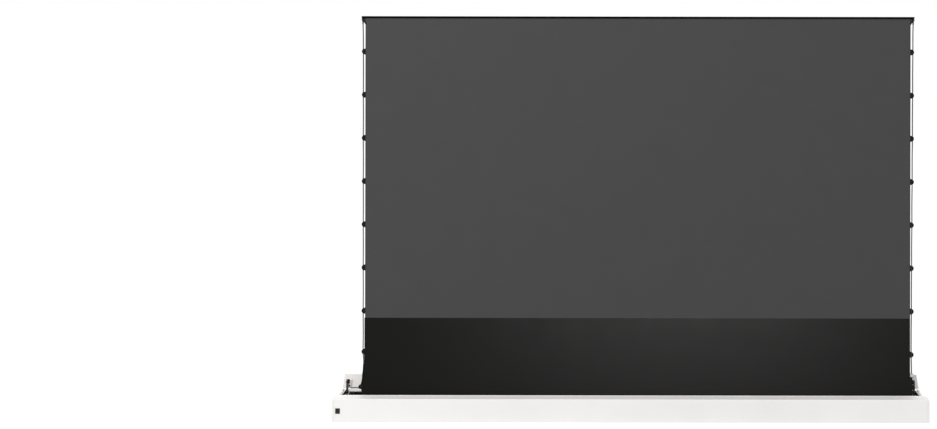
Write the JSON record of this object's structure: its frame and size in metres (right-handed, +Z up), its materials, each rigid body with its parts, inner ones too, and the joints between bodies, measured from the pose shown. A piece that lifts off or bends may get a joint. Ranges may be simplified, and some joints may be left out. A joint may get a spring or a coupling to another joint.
{
  "type": "floor rising projection screen",
  "caption": "Long white floor case with an open hinged lid; a grey, black-skirted projection screen stands up from a motor roller on folding knee arms, edge-tensioned by cords.",
  "frame": {"origin": "on the floor, under the middle of the case: the centre of the middle foot's underside", "axes": "+X along the case to the viewer's right, -Y towards the audience, +Z up"},
  "size_m": [2.463, 0.1584, 1.6792],
  "materials": {
    "case_white": "satin white powder coat",
    "foot_rubber": "matt black rubber",
    "trim_white": "white moulded",
    "lens_dark": "smoked, glossy",
    "plastic_black": "fine-grained black",
    "motor_black": "black lacquer",
    "zinc_steel": "bright zinc plate",
    "spring_black": "blackened spring wire",
    "roller_aluminium": "mill finish",
    "picture_grey": "matt grey projection surface",
    "mask_black": "matt black with a soft sheen",
    "cord_grey": "braided, with dark clips",
    "bar_black": "black anodised",
    "arm_grey": "dark grey satin paint"
  },
  "bodies": {
    "case": {"floor_panel": "case_white", "rear_panel": "case_white", "front_cover": "case_white", "end_plate_left": "case_white", "end_plate_right": "case_white", "foot_left": "foot_rubber", "foot_middle": "foot_rubber", "foot_right": "foot_rubber", "receiver_bezel": "trim_white", "receiver_lens": "lens_dark", "power_inlet": "plastic_black", "control_box": "plastic_black", "motor_bracket": "zinc_steel", "idler_bracket": "zinc_steel", "tube_motor": "motor_black", "shoulder_bracket_left": "zinc_steel", "shoulder_bracket_right": "zinc_steel", "shoulder_pin_left": "zinc_steel", "shoulder_pin_right": "zinc_steel", "spring_drum_left": "plastic_black", "spring_drum_right": "plastic_black", "hinge_saddle_left": "case_white", "hinge_saddle_middle": "case_white", "hinge_saddle_right": "case_white", "lid_pivot_left": "zinc_steel", "lid_pivot_right": "zinc_steel", "lever_bracket_left": "zinc_steel", "lever_bracket_right": "zinc_steel", "lever_pin_left": "zinc_steel", "lever_pin_right": "zinc_steel", "lid_spring_left": "spring_black", "lid_spring_right": "spring_black", "picture_fabric": "picture_grey", "mask_fabric": "mask_black", "tension_cord_left": "cord_grey", "tension_cord_right": "cord_grey"},
    "roller": {"roller_tube": "roller_aluminium", "roller_drive_plug": "plastic_black", "roller_idler_plug": "plastic_black", "fabric_turns": "mask_black"},
    "left_lower_arm": {"lower_arm_left": "arm_grey"},
    "left_upper_arm": {"upper_arm_left": "arm_grey", "elbow_pin_left": "zinc_steel"},
    "right_lower_arm": {"lower_arm_right": "arm_grey"},
    "right_upper_arm": {"upper_arm_right": "arm_grey", "elbow_pin_right": "zinc_steel"},
    "top_bar_body": {"top_bar": "bar_black", "top_bar_cap_left": "plastic_black", "top_bar_cap_right": "plastic_black", "hanger_left": "bar_black", "hanger_right": "bar_black"},
    "lid": {"lid_panel": "case_white", "lid_end_cap_left": "case_white", "lid_end_cap_right": "case_white", "lid_pad_left": "trim_white", "lid_pad_right": "trim_white"},
    "left_lever": {"lid_lever_left": "zinc_steel"},
    "right_lever": {"lid_lever_right": "zinc_steel"},
    "left_lever_roller": {"lever_roller_left": "plastic_black"},
    "right_lever_roller": {"lever_roller_right": "plastic_black"}
  },
  "joints": [
    {"name": "left_shoulder", "type": "hinge", "parent": "case", "child": "left_lower_arm", "pos_m": [-0.871, 0.018, 0.04], "axis": [0, 1, 0], "range_deg": [0, 80], "deforming": ["picture_fabric", "mask_fabric", "tension_cord_left", "tension_cord_right"]},
    {"name": "left_elbow", "type": "hinge", "parent": "left_lower_arm", "child": "left_upper_arm", "pos_m": [-0.73054, 0.018, 0.83661], "axis": [0, 1, 0], "range_deg": [-160, 0]},
    {"name": "left_top", "type": "hinge", "parent": "left_upper_arm", "child": "top_bar_body", "pos_m": [-0.871, 0.018, 1.63322], "axis": [0, 1, 0], "range_deg": [0, 80]},
    {"name": "right_shoulder", "type": "hinge", "parent": "case", "child": "right_lower_arm", "pos_m": [0.929, 0.018, 0.04], "axis": [0, 1, 0], "range_deg": [-80, 0]},
    {"name": "right_elbow", "type": "hinge", "parent": "right_lower_arm", "child": "right_upper_arm", "pos_m": [0.78854, 0.018, 0.83661], "axis": [0, 1, 0], "range_deg": [0, 160]},
    {"name": "roller_spin", "type": "hinge", "parent": "case", "child": "roller", "pos_m": [0, -0.035, 0.036], "axis": [1, 0, 0], "range_deg": [-3745, 0]},
    {"name": "lid_hinge", "type": "hinge", "parent": "case", "child": "lid", "pos_m": [0, 0.055, 0.0897], "axis": [1, 0, 0], "range_deg": [0, 51], "deforming": ["lid_spring_left", "lid_spring_right"]},
    {"name": "left_lever_pivot", "type": "hinge", "parent": "case", "child": "left_lever", "pos_m": [-1.2095, 0.053, 0.0737], "axis": [1, 0, 0], "range_deg": [0, 37]},
    {"name": "right_lever_pivot", "type": "hinge", "parent": "case", "child": "right_lever", "pos_m": [1.2095, 0.053, 0.0737], "axis": [1, 0, 0], "range_deg": [0, 37]},
    {"name": "left_roller_turn", "type": "hinge", "parent": "left_lever", "child": "left_lever_roller", "pos_m": [-1.2037, 0.05703, 0.12905], "axis": [1, 0, 0], "continuous": true},
    {"name": "right_roller_turn", "type": "hinge", "parent": "right_lever", "child": "right_lever_roller", "pos_m": [1.2037, 0.05703, 0.12905], "axis": [1, 0, 0], "continuous": true}
  ],
  "couplings": [
    {"joint": "left_elbow", "follows": "left_shoulder", "ratio": -2},
    {"joint": "left_top", "follows": "left_shoulder", "ratio": 1},
    {"joint": "right_shoulder", "follows": "left_shoulder", "ratio": -1},
    {"joint": "right_elbow", "follows": "left_shoulder", "ratio": 2},
    {"joint": "roller_spin", "follows": "left_shoulder", "ratio": -46.5},
    {"joint": "left_lever_pivot", "follows": "lid_hinge", "ratio": 0.7054},
    {"joint": "right_lever_pivot", "follows": "lid_hinge", "ratio": 0.7054}
  ]
}
